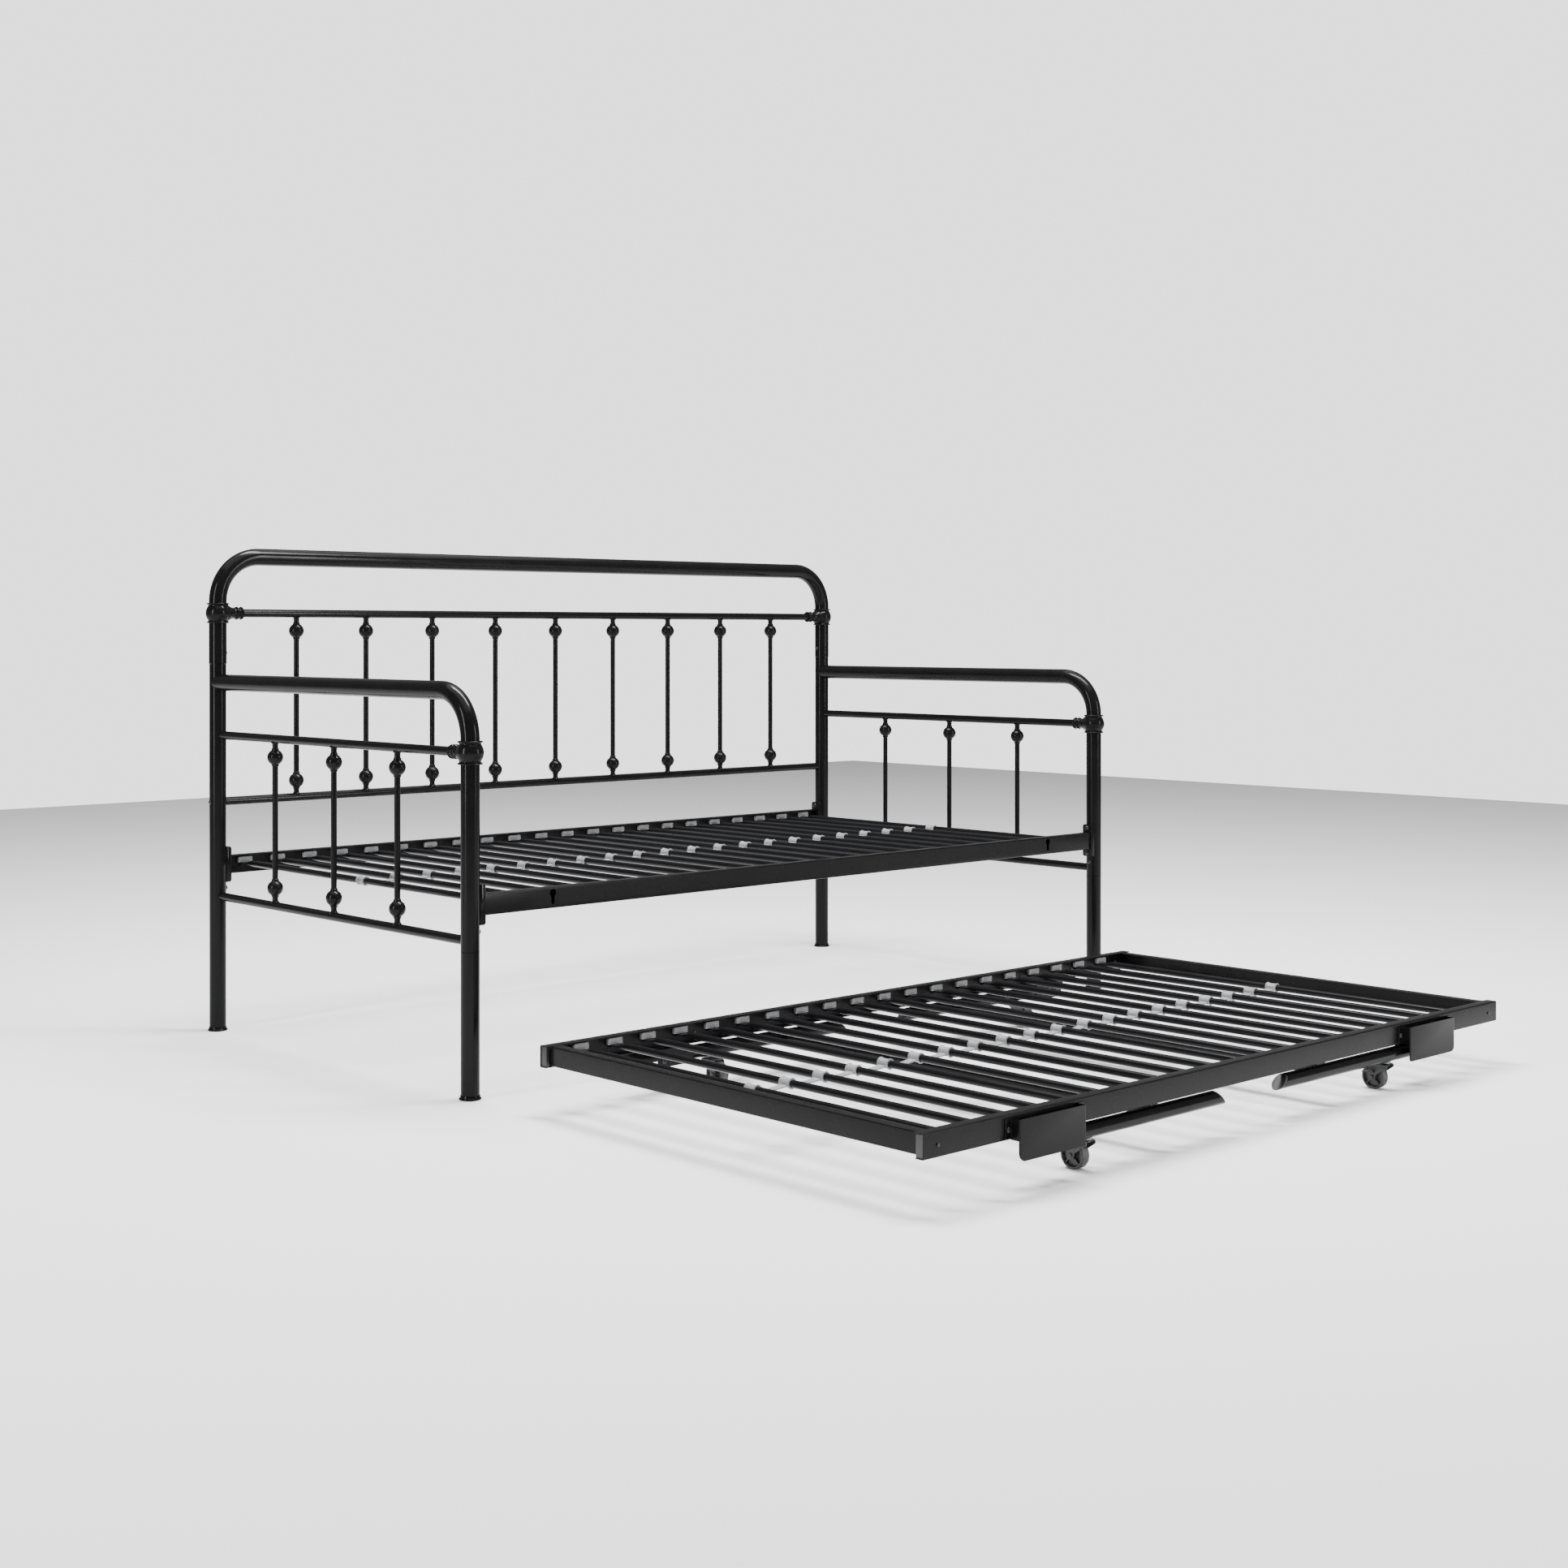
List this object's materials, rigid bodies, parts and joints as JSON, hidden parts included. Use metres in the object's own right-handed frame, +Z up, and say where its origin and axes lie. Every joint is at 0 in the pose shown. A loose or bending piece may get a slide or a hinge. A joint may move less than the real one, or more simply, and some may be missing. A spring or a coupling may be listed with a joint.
{
  "type": "trundle bed",
  "caption": "Black tubular steel daybed with rounded back and arms, turned balls and castings, metal slats, and a low slatted trundle on casters with fold-down legs.",
  "frame": {"origin": "on the floor, at the middle of the box that holds the daybed and the pulled-out trundle", "axes": "+Z up, +X along the length, -Y to the front, where the trundle is pulled out"},
  "size_m": [2.004, 2.262, 1.118],
  "materials": {
    "frame_paint": "glossy powder coat",
    "trundle_paint": "glossy powder coat",
    "castings": "powder coat over cast metal",
    "balls": "glossy powder coat",
    "slats": "glossy powder coat",
    "straps": "moulded",
    "slat_plugs": "moulded",
    "black_plastic": "moulded",
    "dark_bolts": "black coated",
    "zinc_steel": "zinc plated",
    "fork_metal": "black coated pressed steel",
    "wheel_plastic": "moulded",
    "pedal_plastic": "moulded"
  },
  "bodies": {
    "daybed": {"back_panel_tube": "frame_paint", "back_upper_rail": "frame_paint", "back_lower_rail": "frame_paint", "back_spindles": "frame_paint", "left_arm_tube": "frame_paint", "right_arm_tube": "frame_paint", "left_back_post": "frame_paint", "right_back_post": "frame_paint", "arm_rails": "frame_paint", "arm_spindles": "frame_paint", "spindle_balls": "balls", "corner_castings": "castings", "bed_legs": "frame_paint", "bed_feet": "frame_paint", "front_side_rail": "frame_paint", "back_side_rail": "frame_paint", "post_brackets": "frame_paint", "bed_slats": "slats", "bed_slat_strap": "straps", "bed_slat_plugs": "slat_plugs", "bed_bolts": "dark_bolts"},
    "trundle": {"trundle_front_rail": "trundle_paint", "trundle_back_rail": "trundle_paint", "trundle_left_rail": "trundle_paint", "trundle_right_rail": "trundle_paint", "trundle_end_caps": "black_plastic", "trundle_slats": "slats", "trundle_slat_strap": "straps", "trundle_slat_plugs": "slat_plugs", "leg_brackets": "trundle_paint", "trundle_bolts": "dark_bolts", "leg_pivot_bolts": "zinc_steel"},
    "left_legs": {"leg_front_left": "trundle_paint", "leg_back_left": "trundle_paint", "leg_cross_tube_left": "trundle_paint", "foot_plug_front_left": "black_plastic", "foot_plug_back_left": "black_plastic", "caster_stem_front_left": "zinc_steel", "caster_stem_back_left": "zinc_steel"},
    "right_legs": {"leg_front_right": "trundle_paint", "leg_back_right": "trundle_paint", "leg_cross_tube_right": "trundle_paint", "foot_plug_front_right": "black_plastic", "foot_plug_back_right": "black_plastic", "caster_stem_front_right": "zinc_steel", "caster_stem_back_right": "zinc_steel"},
    "caster_front_left": {"caster_fork_front_left": "fork_metal", "caster_axle_front_left": "dark_bolts"},
    "wheel_front_left": {"caster_wheel_front_left": "wheel_plastic"},
    "caster_front_right": {"caster_fork_front_right": "fork_metal", "caster_axle_front_right": "dark_bolts"},
    "wheel_front_right": {"caster_wheel_front_right": "wheel_plastic"},
    "caster_back_left": {"caster_fork_back_left": "fork_metal", "caster_axle_back_left": "dark_bolts"},
    "wheel_back_left": {"caster_wheel_back_left": "wheel_plastic"},
    "caster_back_right": {"caster_fork_back_right": "fork_metal", "caster_axle_back_right": "dark_bolts"},
    "wheel_back_right": {"caster_wheel_back_right": "wheel_plastic"},
    "pedal_front_left": {"brake_pedal_front_left": "pedal_plastic"},
    "pedal_front_right": {"brake_pedal_front_right": "pedal_plastic"}
  },
  "joints": [
    {"name": "trundle_roll", "type": "slide", "parent": "daybed", "child": "trundle", "axis": [0, 1, 0], "range_m": [0, 1.203]},
    {"name": "left_legs_fold", "type": "hinge", "parent": "trundle", "child": "left_legs", "pos_m": [-0.638, -0.6095, 0.071], "axis": [0, 1, 0], "range_deg": [0, 135]},
    {"name": "right_legs_fold", "type": "hinge", "parent": "trundle", "child": "right_legs", "pos_m": [0.522, -0.6095, 0.071], "axis": [0, -1, 0], "range_deg": [0, 135]},
    {"name": "caster_swivel_front_left", "type": "hinge", "parent": "left_legs", "child": "caster_front_left", "pos_m": [-0.534, -1.1, 0.05], "axis": [0, 0, 1], "continuous": true},
    {"name": "wheel_spin_front_left", "type": "hinge", "parent": "caster_front_left", "child": "wheel_front_left", "pos_m": [-0.534, -1.074, 0.025], "axis": [1, 0, 0], "continuous": true},
    {"name": "brake_pedal_press_front_left", "type": "hinge", "parent": "caster_front_left", "child": "pedal_front_left", "pos_m": [-0.518, -1.074, 0.038], "axis": [0, 1, 0], "range_deg": [0, 12]},
    {"name": "caster_swivel_front_right", "type": "hinge", "parent": "right_legs", "child": "caster_front_right", "pos_m": [0.418, -1.1, 0.05], "axis": [0, 0, 1], "continuous": true},
    {"name": "wheel_spin_front_right", "type": "hinge", "parent": "caster_front_right", "child": "wheel_front_right", "pos_m": [0.418, -1.074, 0.025], "axis": [1, 0, 0], "continuous": true},
    {"name": "brake_pedal_press_front_right", "type": "hinge", "parent": "caster_front_right", "child": "pedal_front_right", "pos_m": [0.402, -1.074, 0.038], "axis": [0, -1, 0], "range_deg": [0, 12]},
    {"name": "caster_swivel_back_left", "type": "hinge", "parent": "left_legs", "child": "caster_back_left", "pos_m": [-0.534, -0.119, 0.05], "axis": [0, 0, 1], "continuous": true},
    {"name": "wheel_spin_back_left", "type": "hinge", "parent": "caster_back_left", "child": "wheel_back_left", "pos_m": [-0.534, -0.145, 0.025], "axis": [1, 0, 0], "continuous": true},
    {"name": "caster_swivel_back_right", "type": "hinge", "parent": "right_legs", "child": "caster_back_right", "pos_m": [0.418, -0.119, 0.05], "axis": [0, 0, 1], "continuous": true},
    {"name": "wheel_spin_back_right", "type": "hinge", "parent": "caster_back_right", "child": "wheel_back_right", "pos_m": [0.418, -0.145, 0.025], "axis": [1, 0, 0], "continuous": true}
  ]
}
